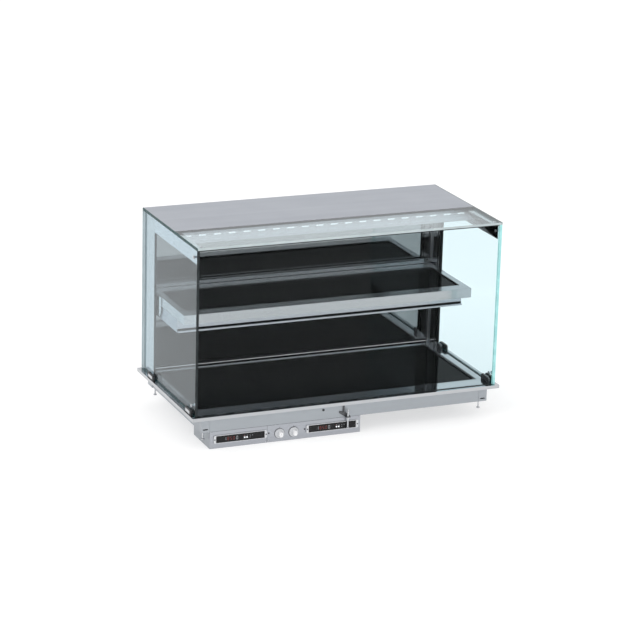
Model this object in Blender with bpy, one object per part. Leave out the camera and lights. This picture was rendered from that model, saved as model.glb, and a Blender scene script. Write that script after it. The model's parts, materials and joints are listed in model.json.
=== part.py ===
"""Drop-in heated glass display case: a base with a glass-ceramic hot plate, a heated mid shelf,
a glass enclosure with a heated head, two rear flaps and a control box under the front edge.

Metres, +Z up. X runs along the counter, +Y from the guest side to the staff side.
The origin lies on the underside of the flange, in the middle of the front edge, straight
below the front pane's outer face. Z = 0 is the top of the counter.
"""
import math

import bmesh
import bpy
from mathutils import Matrix, Vector

# ---------------------------------------------------------------- driving dimensions (metres)
GAP = 0.0003                # play between touching pieces
SHEET = 0.0015              # stainless sheet of the visible parts
THIN_SHEET = 0.0012         # sheet of the casing and the shelf

GLASS_W = 1.100             # outer width of the glass enclosure
GLASS_D = 0.540             # outer depth
GLASS_H = 0.578             # height above the flange
GLASS_T = 0.008             # pane thickness

FLANGE_OVER = 0.012         # flange reach outside the glass
FLANGE_H = 0.012            # height of the flange above the counter
SEAT_W = 0.0197             # width of the seat that rests on the counter

PLATE_X = 0.509             # half width of the base recess
PLATE_Y = (0.075, 0.493)    # base recess, front and rear edge
PLATE_T = 0.006             # glass-ceramic thickness
PLATE_TOP = 0.005           # top of the base hot plate
RECESS_STEP = 0.004         # width of the step around the recess
LEDGE_W = 0.016             # ledge that carries the plate

CASING_X = 0.525            # half width of the casing under the counter
CASING_Y = (0.008, 0.543)   # casing, front and rear face
CASING_Z = -0.048           # underside of the casing
BRACKET_LEG = 0.0305        # leg of a corner bracket along the front
SCREW_INSET = (0.017, 0.028)  # clamp screw from the casing's corner, in X and Y

WIRE_PASSAGE = ((-0.32, -0.26), (0.07, 0.11))   # opening between casing and control box
BOX_X = (-0.494, 0.050)     # control box
BOX_Y = 0.160               # rear face of the control box
BOX_Z = (-0.108, -0.0483)
PANEL_SEAM = -0.2897        # joint between the two control panels
PANEL_Y = (0.008, 0.0095)   # control panels, front and rear face

CONTROLLER_X = (-0.386, -0.054)   # centres of the two controllers
CONTROLLER_Z = -0.076
BEZEL = (0.184, 0.028)      # width and height of a controller's bezel
LENS = (0.172, 0.024)       # width and height of its display window
KEY_OFFSETS = (0.0151, 0.0234)    # push keys from the controller's centre
KEY_DROP = 0.0024           # push keys below the controller's centre line
KEY_R = 0.0027

KNOB_X = (-0.245, -0.194)
KNOB_Z = -0.080
KNOB_R = 0.017

POST_Y = (0.438, 0.540)
POST_T = 0.007
POST_SLOT = (0.4595, 0.4655)  # shelf slot in the post
POST_LIP = (0.513, 0.518)   # door stop at the rear of the post

HEAD_Y = 0.2197             # rear edge of the front top pane
FASCIA_Y = 0.223
HEAD_BOTTOM = 0.541         # underside of the head
ARM_BOTTOM = 0.529
SLOT_COUNT = 20
SLOT_PITCH = 0.0528
SLOT_SIZE = (0.027, 0.0045)
SLOT_Z = 0.5685

SHELF_X = 0.5295
SHELF_Y = (0.172, 0.505)
SHELF_Z = (0.277, 0.310)    # bottom and top of the shelf's rim
SHELF_OPEN_X = 0.5065       # half width of the shelf's plate opening
SHELF_OPEN_Y = (0.220, 0.462)
TRAY_X = 0.5275
TRAY_Y = (0.244, 0.498)
TRAY_Z = (0.230, 0.2767)
TRAY_LIP_Y = 0.237
BRACKET_Y = (0.395, 0.475)
BRACKET_Z = (0.235, 0.309)
BRACKET_CORNER = 0.030      # radius of a shelf bracket's lower front corner

RAIL_Y = (0.5055, 0.5127)
RAIL_Z = (0.311, 0.328)

DOOR_X = 0.533
DOOR_Y = (0.523, 0.529)
UPPER_DOOR_Z = (0.315, 0.536)
LOWER_DOOR_Z = (0.020, 0.311)
HINGE_RAIL_H = 0.022        # profile along the top edge of a flap
PIN_DROP = 0.006            # hinge axis below the flap's top edge
PIN_R = 0.0025
BORE_PLAY = 0.0003

GLASS_TOP = FLANGE_H + GLASS_H
HALF_W = GLASS_W / 2
PANE_IN = HALF_W - GLASS_T - GAP      # where pieces inside the side panes begin
PANE_TOP = GLASS_TOP - GLASS_T - GAP  # top of the upright panes
ROOM_FLOOR = FLANGE_H + GAP           # where pieces stand on the flange


# ---------------------------------------------------------------- scene and materials
for old in list(bpy.data.objects):
    bpy.data.objects.remove(old, do_unlink=True)


def material(name, color, roughness, metallic=0.0, alpha=1.0):
    mat = bpy.data.materials.new(name)
    mat.use_nodes = True
    shader = mat.node_tree.nodes["Principled BSDF"]
    shader.inputs["Base Color"].default_value = (*color, 1.0)
    shader.inputs["Roughness"].default_value = roughness
    shader.inputs["Metallic"].default_value = metallic
    shader.inputs["Alpha"].default_value = alpha
    return mat


STEEL = material("brushed_steel", (0.62, 0.64, 0.66), 0.32, 1.0)
SATIN = material("satin_steel", (0.55, 0.58, 0.60), 0.40, 1.0)
ZINC = material("zinc_plate", (0.60, 0.61, 0.62), 0.35, 1.0)
BLACK_GLASS = material("black_glass_ceramic", (0.012, 0.012, 0.014), 0.08)
CLEAR = material("clear_glass", (0.80, 0.95, 0.92), 0.02, 0.0, 0.25)
MIRROR = material("mirror", (0.85, 0.87, 0.88), 0.03, 1.0)
SILICONE = material("black_silicone", (0.02, 0.02, 0.02), 0.70)
BLACK_PLASTIC = material("black_plastic", (0.025, 0.025, 0.028), 0.45)
GREY_PLASTIC = material("grey_plastic", (0.70, 0.71, 0.72), 0.40)
WHITE_PLASTIC = material("white_plastic", (0.85, 0.85, 0.85), 0.35)
FOIL = material("heater_foil", (0.75, 0.45, 0.20), 0.50, 0.6)
BOARD = material("insulation_board", (0.80, 0.76, 0.66), 0.90)
QUARTZ = material("quartz", (0.90, 0.80, 0.70), 0.15, 0.0, 0.6)
DARK_STEEL = material("blackened_steel", (0.05, 0.05, 0.055), 0.45, 0.8)


# ---------------------------------------------------------------- building helpers
def make_object(name, bm, mat):
    """Close the bmesh into an object whose faces point out."""
    bmesh.ops.recalc_face_normals(bm, faces=bm.faces)
    mesh = bpy.data.meshes.new(name)
    bm.to_mesh(mesh)
    bm.free()
    obj = bpy.data.objects.new(name, mesh)
    bpy.context.scene.collection.objects.link(obj)
    if mat:
        mesh.materials.append(mat)
    return obj


def fill_box(bm, x, y, z):
    """Add a box between the given (low, high) pairs, in any order."""
    low = Vector((min(x), min(y), min(z)))
    size = Vector((abs(x[1] - x[0]), abs(y[1] - y[0]), abs(z[1] - z[0])))
    place = Matrix.Translation(low + size / 2) @ Matrix.Diagonal((*size, 1.0))
    bmesh.ops.create_cube(bm, size=1.0, matrix=place)


def boxes(name, spans, mat=None):
    """One object holding one separate box for each (x, y, z) span."""
    bm = bmesh.new()
    for span in spans:
        fill_box(bm, *span)
    return make_object(name, bm, mat)


def fill_prism(bm, outline, axis, span):
    """Extrude a closed outline along an axis; the outline uses the other two axes in order."""
    others = [i for i in range(3) if i != axis]
    base = []
    for point in outline:
        place = [0.0, 0.0, 0.0]
        place[axis] = span[0]
        place[others[0]], place[others[1]] = point
        base.append(bm.verts.new(place))
    face = bm.faces.new(base)
    shift = Vector((0.0, 0.0, 0.0))
    shift[axis] = span[1] - span[0]
    made = bmesh.ops.extrude_face_region(bm, geom=[face], use_keep_orig=True)
    moved = [item for item in made["geom"] if isinstance(item, bmesh.types.BMVert)]
    bmesh.ops.translate(bm, verts=moved, vec=shift)


def prism(name, outline, axis, span, mat=None):
    bm = bmesh.new()
    fill_prism(bm, outline, axis, span)
    return make_object(name, bm, mat)


def fill_turned(bm, profile, centre, direction, segments=24):
    """Turn (radius, distance) points about a line; a radius of 0 makes a pole."""
    way = Vector(direction).normalized()
    turn = Vector((0, 0, 1)).rotation_difference(way).to_matrix()
    rings = []
    for radius, along in profile:
        if radius == 0:
            rings.append([bm.verts.new(Vector(centre) + way * along)])
            continue
        ring = []
        for step in range(segments):
            angle = math.tau * step / segments
            spoke = Vector((radius * math.cos(angle), radius * math.sin(angle), along))
            ring.append(bm.verts.new(Vector(centre) + turn @ spoke))
        rings.append(ring)
    for near, far in zip(rings, rings[1:]):
        for step in range(segments):
            after = (step + 1) % segments
            if len(near) == 1:
                bm.faces.new((near[0], far[step], far[after]))
            elif len(far) == 1:
                bm.faces.new((near[step], near[after], far[0]))
            else:
                bm.faces.new((near[step], near[after], far[after], far[step]))
    for ring in (rings[0], rings[-1]):
        if len(ring) > 1:
            bm.faces.new(ring)


def rod(radius, length):
    """Profile of a plain round rod for fill_turned."""
    return [(radius, 0.0), (radius, length)]


def turned(name, items, mat=None, segments=24):
    """One object of separate turned solids, each given as (profile, centre, direction)."""
    bm = bmesh.new()
    for profile, centre, direction in items:
        fill_turned(bm, profile, centre, direction, segments)
    return make_object(name, bm, mat)


def rect(x_half, y, grow=0.0):
    """A rectangle centred on X = 0, grown outwards by the given distance."""
    return (-x_half - grow, x_half + grow, y[0] - grow, y[1] + grow)


def folded_ring(name, stations, mat):
    """Sweep a closed sheet section around a rectangle: each station is (rectangle, height)."""
    bm = bmesh.new()
    loops = []
    for (x0, x1, y0, y1), z in stations:
        corners = ((x0, y0), (x1, y0), (x1, y1), (x0, y1))
        loops.append([bm.verts.new((x, y, z)) for x, y in corners])
    for i, near in enumerate(loops):
        far = loops[(i + 1) % len(loops)]
        for k in range(4):
            bm.faces.new((near[k], near[(k + 1) % 4], far[(k + 1) % 4], far[k]))
    return make_object(name, bm, mat)


def boolean(target, tool, operation):
    tool.hide_render = True
    tool.display_type = "WIRE"
    step = target.modifiers.new(tool.name, "BOOLEAN")
    step.operation = operation
    step.solver = "EXACT"
    step.object = tool


def cut(target, tool):
    boolean(target, tool, "DIFFERENCE")


def fuse(target, tool):
    boolean(target, tool, "UNION")


def smooth(obj):
    obj.data.shade_smooth()
    obj.data.set_sharp_from_angle(angle=math.radians(35))


def bevel(obj, width, segments=1):
    edge = obj.modifiers.new("arris", "BEVEL")
    edge.width = width
    edge.segments = segments
    edge.limit_method = "ANGLE"


def slot_outline(x, z, length, height, steps=4):
    """Outline of a slot with round ends, centred on (x, z)."""
    reach = (length - height) / 2
    radius = height / 2
    points = []
    for side in (1, -1):
        for step in range(steps + 1):
            angle = -math.pi / 2 + math.pi * step / steps
            points.append((x + side * (reach + radius * math.cos(angle)),
                           z + side * radius * math.sin(angle)))
    return points


def sides():
    """The two sides of the case, as a name and a sign."""
    return (("left", -1), ("right", 1))


# ---------------------------------------------------------------- base: flange, hot plate, heater
def base_tray():
    """Flange folded round the edge, with a stepped recess and a ledge for the hot plate."""
    outer = rect(HALF_W, (0.0, GLASS_D), FLANGE_OVER)
    inner = tuple(edge + sign * SHEET for edge, sign in zip(outer, (1, -1, 1, -1)))
    seat = (outer[0] + SEAT_W, outer[1] - SEAT_W, outer[2] + SEAT_W, outer[3] - 0.0087)
    step_z = FLANGE_H - 0.0025
    ledge_z = -0.003
    recess = rect(PLATE_X, PLATE_Y)
    mouth = rect(PLATE_X, PLATE_Y, RECESS_STEP)
    recess_back = rect(PLATE_X, PLATE_Y, SHEET)
    mouth_back = rect(PLATE_X, PLATE_Y, RECESS_STEP + SHEET)
    ledge = rect(PLATE_X, PLATE_Y, -LEDGE_W)
    stations = [
        (seat, 0.0), (outer, 0.0), (outer, FLANGE_H), (mouth, FLANGE_H), (mouth, step_z),
        (recess, step_z), (recess, ledge_z), (ledge, ledge_z), (ledge, ledge_z - SHEET),
        (recess_back, ledge_z - SHEET), (recess_back, step_z - SHEET),
        (mouth_back, step_z - SHEET), (mouth_back, FLANGE_H - SHEET),
        (inner, FLANGE_H - SHEET), (inner, SHEET), (seat, SHEET)]
    return folded_ring("base_tray", stations, STEEL)


def hot_plate():
    x = PLATE_X - 0.001
    y = (PLATE_Y[0] + 0.001, PLATE_Y[1] - 0.001)
    plate = boxes("hot_plate", [((-x, x), y, (PLATE_TOP - PLATE_T, PLATE_TOP))], BLACK_GLASS)
    bevel(plate, 0.0008)


def plate_seal():
    outer = rect(PLATE_X, PLATE_Y, -0.002)
    inner = rect(PLATE_X, PLATE_Y, -0.014)
    low, high = -0.0027, -0.0013
    folded_ring("plate_seal", [(outer, low), (outer, high), (inner, high), (inner, low)], SILICONE)


def plate_heater_and_insulation():
    x = PLATE_X - LEDGE_W - 0.002
    y = (PLATE_Y[0] + LEDGE_W + 0.002, PLATE_Y[1] - LEDGE_W - 0.002)
    boxes("plate_heater", [((-x, x), y, (-0.0048, -0.0013))], FOIL)
    boxes("plate_insulation", [((-x, x), y, (-0.0250, -0.0051))], BOARD)


# ---------------------------------------------------------------- casing under the counter
def casing_shell():
    """Tub hung under the flange, with slotted corner brackets welded on and a vented floor."""
    set_back = 0.0018
    floor = CASING_Z + 0.0015
    x = CASING_X - set_back
    y = (CASING_Y[0] + set_back, CASING_Y[1] - set_back)
    tub = boxes("casing_shell", [((-x, x), y, (floor, FLANGE_H - SHEET - GAP))], SATIN)
    cut(tub, boxes("casing_room", [(
        (-x + THIN_SHEET, x - THIN_SHEET), (y[0] + THIN_SHEET, y[1] - THIN_SHEET),
        (floor + THIN_SHEET, FLANGE_H))]))
    corner_brackets(tub)
    vents = bmesh.new()
    for row in range(2):
        for col in range(12):
            left = 0.14 + 0.030 * col
            fill_box(vents, (left, left + 0.006), (0.15 + 0.18 * row, 0.25 + 0.18 * row),
                     (floor - 0.01, floor + 0.01))
    cut(tub, make_object("floor_vents", vents, None))
    cut(tub, boxes("floor_wire_passage", [(*WIRE_PASSAGE, (floor - 0.01, floor + 0.01))]))


def casing_front_panel():
    """Front cover with a small round service hole."""
    half = CASING_X - BRACKET_LEG - 0.0005
    panel = boxes("casing_front_panel", [((-half, half), PANEL_Y, (CASING_Z, 0.009))], SATIN)
    hole = turned("front_panel_hole", [(rod(0.004, 0.010), (-0.087, 0.004, -0.015), (0, 1, 0))])
    cut(panel, hole)


def screw_places():
    """The four clamp screws: front left, front right, rear left, rear right."""
    x = CASING_X - SCREW_INSET[0]
    front = CASING_Y[0] + SCREW_INSET[1]
    rear = CASING_Y[1] - SCREW_INSET[1]
    return [(-x, front), (x, front), (-x, rear), (x, rear)]


def corner_brackets(tub):
    """Folded corners: a slotted face, a side leg and a foot that takes the clamp screw."""
    depth = 0.046
    thick = 0.0026
    bm = bmesh.new()
    feet = bmesh.new()
    slots = bmesh.new()
    for side in (-1, 1):
        x = side * CASING_X
        inner = side * (CASING_X - BRACKET_LEG)
        for face, way in ((CASING_Y[0], 1), (CASING_Y[1], -1)):
            rear = face + way * depth
            outline = [(x, face), (inner, face), (inner, face + way * thick),
                       (x - side * thick, face + way * thick), (x - side * thick, rear), (x, rear)]
            fill_prism(bm, outline, 2, (CASING_Z, -GAP))
            fill_box(feet, (x - side * 0.0005, inner), (face + way * 0.0005, rear),
                     (CASING_Z, CASING_Z + thick))
            centre = side * (CASING_X - 0.0155)
            fill_prism(slots, slot_outline(centre, CASING_Z + 0.010, 0.018, 0.004), 1,
                       (face - 0.005, face + 0.005))
    fuse(tub, make_object("bracket_corners", bm, None))
    fuse(tub, make_object("bracket_feet", feet, None))
    cut(tub, make_object("bracket_slots", slots, None))
    holes = [(rod(0.0033, 0.02), (x, y, CASING_Z - 0.01), (0, 0, 1)) for x, y in screw_places()]
    cut(tub, turned("bracket_holes", holes, None, 16))


def clamp_screws():
    """Long screws with a round head below the casing; each travels in its own bracket."""
    names = ("front_left", "front_right", "rear_left", "rear_right")
    profile = [(0.0, 0.0), (0.0045, 0.0), (0.0065, 0.0020), (0.0065, 0.0038), (0.0030, 0.0052),
               (0.0030, 0.0630), (0.0022, 0.0640), (0.0, 0.0640)]
    for name, (x, y) in zip(names, screw_places()):
        smooth(turned("clamp_screw_" + name, [(profile, (x, y, -0.082), (0, 0, 1))], ZINC, 16))


FRONT_CLAMP_X = -0.001      # threaded hole of the front clamp
FRONT_CLAMP_Y = -0.003


def front_clamp():
    """Claw on the casing front, with a stud beside it and a screw that runs through its jaw."""
    back = (0.0055, 0.0077)
    claw = prism("front_clamp_bracket", [
        (-0.029, -0.026), (-0.012, -0.026), (0.013, -0.047), (0.013, -0.0478), (-0.006, -0.0478),
        (-0.029, -0.032)], 1, back, DARK_STEEL)
    jaw = prism("clamp_jaw", [
        (-0.009, -0.0465), (0.007, -0.0465), (0.007, -0.0435), (-0.009, -0.0435)],
        1, (-0.008, 0.0066))
    stud = boxes("clamp_stud", [((-0.0155, -0.0110), (0.0030, 0.0072), (-0.030, -0.0050))])
    fuse(claw, jaw)
    fuse(claw, stud)
    thread = turned("clamp_thread",
                    [(rod(0.0033, 0.03), (FRONT_CLAMP_X, FRONT_CLAMP_Y, -0.06), (0, 0, 1))], None, 16)
    cut(claw, thread)
    profile = [(0.0, 0.0), (0.0040, 0.0), (0.0058, 0.0018), (0.0058, 0.0034), (0.0030, 0.0046),
               (0.0030, 0.0660), (0.0022, 0.0670), (0.0, 0.0670)]
    smooth(turned("front_clamp_screw",
                  [(profile, (FRONT_CLAMP_X, FRONT_CLAMP_Y, -0.086), (0, 0, 1))], ZINC, 16))


# ---------------------------------------------------------------- control box
def control_box():
    """Sheet box open at the front; the panels close it."""
    y = (PANEL_Y[1] + GAP, BOX_Y)
    box = boxes("control_box", [(BOX_X, y, BOX_Z)], SATIN)
    room = boxes("control_room", [((BOX_X[0] + THIN_SHEET, BOX_X[1] - THIN_SHEET),
                                   (y[0] - 0.01, BOX_Y - THIN_SHEET),
                                   (BOX_Z[0] + THIN_SHEET, BOX_Z[1] - THIN_SHEET))])
    cut(box, room)
    passage = boxes("box_wire_passage", [(*WIRE_PASSAGE, (-0.06, -0.04))])
    cut(box, passage)
    gland_hole = turned("gland_hole", [(rod(0.0083, 0.03), (-0.10, BOX_Y - 0.02, -0.078), (0, 1, 0))])
    cut(box, gland_hole)


def control_panels():
    seam = 0.0003
    left = boxes("control_panel_left",
                 [((BOX_X[0], PANEL_SEAM - seam), PANEL_Y, BOX_Z)], STEEL)
    right = boxes("control_panel_right",
                  [((PANEL_SEAM + seam, BOX_X[1]), PANEL_Y, BOX_Z)], STEEL)
    for panel, centre in ((left, CONTROLLER_X[0]), (right, CONTROLLER_X[1])):
        window = boxes(panel.name + "_window", [(
            (centre - 0.084, centre + 0.084), (0.0, 0.02),
            (CONTROLLER_Z - 0.0105, CONTROLLER_Z + 0.0105))])
        cut(panel, window)
    bores = [(rod(0.0050, 0.02), (x, 0.0, KNOB_Z), (0, 1, 0)) for x in KNOB_X]
    cut(right, turned("knob_bores", bores))


def controller(side, centre):
    """Bezel and housing in one moulding, a display window let into it and two push keys."""
    z = CONTROLLER_Z
    prefix = "controller_" + side
    bezel = (0.0040, PANEL_Y[0] - GAP)
    case = boxes(prefix + "_case", [(
        (centre - BEZEL[0] / 2, centre + BEZEL[0] / 2), bezel,
        (z - BEZEL[1] / 2, z + BEZEL[1] / 2))], GREY_PLASTIC)
    body = boxes(prefix + "_body", [(
        (centre - 0.083, centre + 0.083), (0.0070, 0.0600), (z - 0.0100, z + 0.0100))])
    fuse(case, body)
    pocket = boxes(prefix + "_pocket", [(
        (centre - LENS[0] / 2 - GAP, centre + LENS[0] / 2 + GAP), (0.0, 0.0060),
        (z - LENS[1] / 2 - GAP, z + LENS[1] / 2 + GAP))])
    cut(case, pocket)
    key_z = z - KEY_DROP
    places = [(centre + offset, 0.0, key_z) for offset in KEY_OFFSETS]
    lens = boxes(prefix + "_lens", [(
        (centre - LENS[0] / 2, centre + LENS[0] / 2), (0.0042, 0.0057),
        (z - LENS[1] / 2, z + LENS[1] / 2))], BLACK_GLASS)
    bores = [(rod(KEY_R + BORE_PLAY, 0.0125), place, (0, 1, 0)) for place in places]
    cut(case, turned(prefix + "_key_wells", bores, None, 16))
    cut(lens, turned(prefix + "_key_holes", bores, None, 16))
    profile = [(0.0, 0.0), (KEY_R - 0.0005, 0.0), (KEY_R, 0.0005), (KEY_R, 0.0070), (0.0, 0.0070)]
    for number, (x, _, key_height) in enumerate(places, 1):
        key = turned(prefix + "_key_" + str(number),
                     [(profile, (x, 0.0030, key_height), (0, 1, 0))], WHITE_PLASTIC, 16)
        smooth(key)


def knobs():
    """Knobs with a wide skirt and a slim grip, on the shafts of a twin regulator."""
    skirt = [(0.0, 0.0), (KNOB_R, 0.0), (KNOB_R, 0.0025), (0.0160, 0.0040), (0.0105, 0.0052),
             (0.0088, 0.0075), (0.0082, 0.0190), (0.0072, 0.0200), (0.0, 0.0200)]
    back = PANEL_Y[0] - 0.0006
    carrier = boxes("regulator_block", [(
        (KNOB_X[0] - 0.017, KNOB_X[1] + 0.017), (0.0105, 0.0125), (KNOB_Z - 0.016, KNOB_Z + 0.016))],
        BLACK_PLASTIC)
    fuse(carrier, boxes("regulator_bodies", [(
        (x - 0.014, x + 0.014), (0.0115, 0.0350), (KNOB_Z - 0.014, KNOB_Z + 0.014))
        for x in KNOB_X]))
    shafts = [(rod(0.0030, 0.0200), (x, -0.0040, KNOB_Z), (0, 1, 0)) for x in KNOB_X]
    fuse(carrier, turned("regulator_shafts", shafts, None, 16))
    for (side, _), x in zip(sides(), KNOB_X):
        knob = turned("knob_" + side, [(skirt, (x, back, KNOB_Z), (0, -1, 0))], WHITE_PLASTIC, 32)
        socket = [(rod(0.0030 + BORE_PLAY, 0.0200), (x, back - 0.0125, KNOB_Z), (0, 1, 0))]
        cut(knob, turned(knob.name + "_socket", socket, None, 16))
        smooth(knob)


def cable_gland():
    """Gland for the supply lead, in the rear wall of the control box."""
    outer = [(0.0, -0.0120), (0.0080, -0.0120), (0.0080, GAP), (0.0120, GAP), (0.0120, 0.0065),
             (0.0100, 0.0070), (0.0100, 0.0170), (0.0065, 0.0210), (0.0, 0.0210)]
    gland = turned("cable_gland", [(outer, (-0.10, BOX_Y, -0.078), (0, 1, 0))], BLACK_PLASTIC)
    cut(gland, turned("gland_bore", [(rod(0.0045, 0.05), (-0.10, BOX_Y - 0.02, -0.078), (0, 1, 0))],
                      None, 16))


# ---------------------------------------------------------------- posts and head
def posts():
    """Flat uprights inside the side panes: shelf slot, door stop and two riveted door pins."""
    for name, sign in sides():
        front, rear = POST_Y
        outline = [
            (PANE_IN, front), (PANE_IN - POST_T, front), (PANE_IN - POST_T, POST_SLOT[0]),
            (PANE_IN - 0.0035, POST_SLOT[0]), (PANE_IN - 0.0035, POST_SLOT[1]),
            (PANE_IN - POST_T, POST_SLOT[1]), (PANE_IN - POST_T, POST_LIP[0]),
            (PANE_IN - POST_T - 0.006, POST_LIP[0]), (PANE_IN - POST_T - 0.006, POST_LIP[1]),
            (PANE_IN - POST_T, POST_LIP[1]), (PANE_IN - POST_T, rear), (PANE_IN, rear)]
        post = prism("post_" + name, [(sign * x, y) for x, y in outline], 2,
                     (ROOM_FLOOR, PANE_TOP), STEEL)
        pins = [(rod(PIN_R, 0.016), (sign * (PANE_IN - 0.004), sum(DOOR_Y) / 2, door[1] - PIN_DROP),
                 (-sign, 0, 0)) for door in (UPPER_DOOR_Z, LOWER_DOOR_Z)]
        fuse(post, turned(post.name + "_pins", pins, None, 16))


ARM_T = 0.002
SIDE_FIXING = (0.025, 0.555)    # y and z of the upper glass fixing in the side panes
TOP_FIXING = (0.528, 0.018)     # x and y of the fixing in the top pane
LOW_FIXING = (0.030, 0.045)     # y and z of the lower fixing
CLAMP_PINS = (0.050, 0.425)     # y of the glass clamps' pins
CLAMP_PIN_Z = 0.021
FIXING_HOLE = 0.004


def head_arms():
    """Side plates that carry the top pane, with a flange turned in at the top."""
    for name, sign in sides():
        x = (sign * PANE_IN, sign * (PANE_IN - ARM_T))
        arm = boxes("head_arm_" + name, [(x, (0.012, POST_Y[0] - GAP), (ARM_BOTTOM, PANE_TOP))], SATIN)
        flange = boxes(arm.name + "_flange", [(
            (sign * (PANE_IN - 0.001), sign * (PANE_IN - 0.020)), (0.0125, FASCIA_Y - 0.0015),
            (PANE_TOP - ARM_T - 0.0005, PANE_TOP - 0.0005))])
        fuse(arm, flange)
        hole = turned(arm.name + "_side_hole", [(
            rod(FIXING_HOLE, 0.04), (sign * 0.52, *SIDE_FIXING), (sign, 0, 0))], None, 16)
        cut(arm, hole)
        top = turned(arm.name + "_top_hole", [(
            rod(FIXING_HOLE, 0.02), (sign * TOP_FIXING[0], TOP_FIXING[1], PANE_TOP - 0.01),
            (0, 0, 1))], None, 16)
        cut(arm, top)


def head_fascia():
    """Front of the head: a folded sheet with a row of ventilation slots."""
    z = (HEAD_BOTTOM, PANE_TOP - 0.0002)
    x = PANE_IN - ARM_T - GAP
    y = FASCIA_Y
    section = [(y, z[0]), (y + 0.0130, z[0]), (y + 0.0130, z[0] + SHEET),
               (y + SHEET, z[0] + SHEET), (y + SHEET, z[1]), (y, z[1])]
    fascia = prism("head_fascia", section, 0, (-x, x), STEEL)
    bm = bmesh.new()
    for number in range(SLOT_COUNT):
        centre = (number - (SLOT_COUNT - 1) / 2) * SLOT_PITCH
        fill_prism(bm, slot_outline(centre, SLOT_Z, *SLOT_SIZE), 1, (y - 0.004, y + 0.006))
    cut(fascia, make_object("fascia_slots", bm, None))


def head_floor():
    """Underside of the head, open below the heater tubes and turned up at the rear."""
    z = HEAD_BOTTOM
    front, rear = FASCIA_Y + 0.0133, POST_LIP[0] - GAP
    section = [(front, z), (rear, z), (rear, PANE_TOP), (rear - SHEET, PANE_TOP),
               (rear - SHEET, z + SHEET), (front, z + SHEET)]
    x = PANE_IN - POST_T - GAP
    floor = prism("head_floor", section, 0, (-x, x), STEEL)
    cut(floor, boxes("radiant_opening", [((-0.470, 0.470), (0.302, 0.418), (z - 0.01, z + 0.01))]))


def head_reflector():
    """Trough above the tubes with an end wall on each side."""
    low = HEAD_BOTTOM + SHEET + GAP
    outer = [(0.297, low), (0.423, low), (0.400, low + 0.028), (0.320, low + 0.028)]
    inner = [(0.2985, low - 0.001), (0.4215, low - 0.001), (0.399, low + 0.0268),
             (0.321, low + 0.0268)]
    trough = prism("head_reflector", outer, 0, (-0.480, 0.480), STEEL)
    cut(trough, prism("trough_room", inner, 0, (-0.4785, 0.4785)))


def heater_element():
    """Two quartz tubes held by a ceramic block at each end."""
    low, high = 0.549, 0.565
    block = 0.016
    reach = 0.478
    element = boxes("heater_element", [((-reach, -reach + block), (0.333, 0.387), (low, high))], QUARTZ)
    fuse(element, boxes("far_block", [((reach - block, reach), (0.333, 0.387), (low, high))]))
    length = 2 * (reach - block) + 0.008
    tubes = [(rod(0.0050, length), (-length / 2, y, 0.5570), (1, 0, 0)) for y in (0.345, 0.375)]
    fuse(element, turned("quartz_tubes", tubes, None, 12))
    smooth(element)


def roof_cover():
    z = (PANE_TOP + GAP, GLASS_TOP)
    roof = boxes("roof_cover", [((-HALF_W, HALF_W), (HEAD_Y + GAP, GLASS_D), z)], STEEL)
    cut(roof, boxes("roof_room", [(
        (-HALF_W + SHEET, HALF_W - SHEET), (HEAD_Y + GAP + SHEET, GLASS_D - SHEET),
        (z[0] - 0.01, z[1] - SHEET))]))


# ---------------------------------------------------------------- glass and its fixings
def panes():
    z = (ROOM_FLOOR, PANE_TOP)
    boxes("front_glass", [((-PANE_IN, PANE_IN), (0.0, GLASS_T), z)], CLEAR)
    for name, sign in sides():
        x = (sign * HALF_W, sign * (HALF_W - GLASS_T))
        pane = boxes(name + "_glass", [(x, (0.0, GLASS_D), z)], CLEAR)
        places = [SIDE_FIXING, LOW_FIXING] + [(y, CLAMP_PIN_Z) for y in CLAMP_PINS]
        holes = [(rod(FIXING_HOLE, 0.04), (sign * 0.53, y, height), (sign, 0, 0))
                 for y, height in places]
        cut(pane, turned(pane.name + "_holes", holes, None, 16))
    top = boxes("top_glass", [((-HALF_W, HALF_W), (0.0, HEAD_Y), (PANE_TOP + GAP, GLASS_TOP))], CLEAR)
    holes = [(rod(FIXING_HOLE, 0.04), (sign * TOP_FIXING[0], TOP_FIXING[1], 0.57), (0, 0, 1))
             for sign in (-1, 1)]
    cut(top, turned("top_glass_holes", holes, None, 16))


def top_connectors():
    """Disc-headed bolts through the side panes and the head arms."""
    grip = GLASS_T + ARM_T + 3 * GAP
    bolt = [(0.0, 0.0), (0.0090, 0.0), (0.0090, 0.0030), (0.0035, 0.0030),
            (0.0035, 0.0030 + grip), (0.0090, 0.0030 + grip), (0.0090, 0.0060 + grip),
            (0.0, 0.0060 + grip)]
    start = PANE_IN - ARM_T - GAP - 0.0030
    for name, sign in sides():
        smooth(turned("top_connector_" + name,
                      [(bolt, (sign * start, *SIDE_FIXING), (sign, 0, 0))], ZINC, 20))


def clamp_jaw(y, low, height=0.018, chamfer=0.006):
    """Outline of a clamp jaw between two Y values, with its upper corners cut off."""
    high = low + height
    return [(y[0], low), (y[1], low), (y[1], high - chamfer), (y[1] - chamfer, high),
            (y[0] + chamfer, high), (y[0], high - chamfer)]


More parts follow.
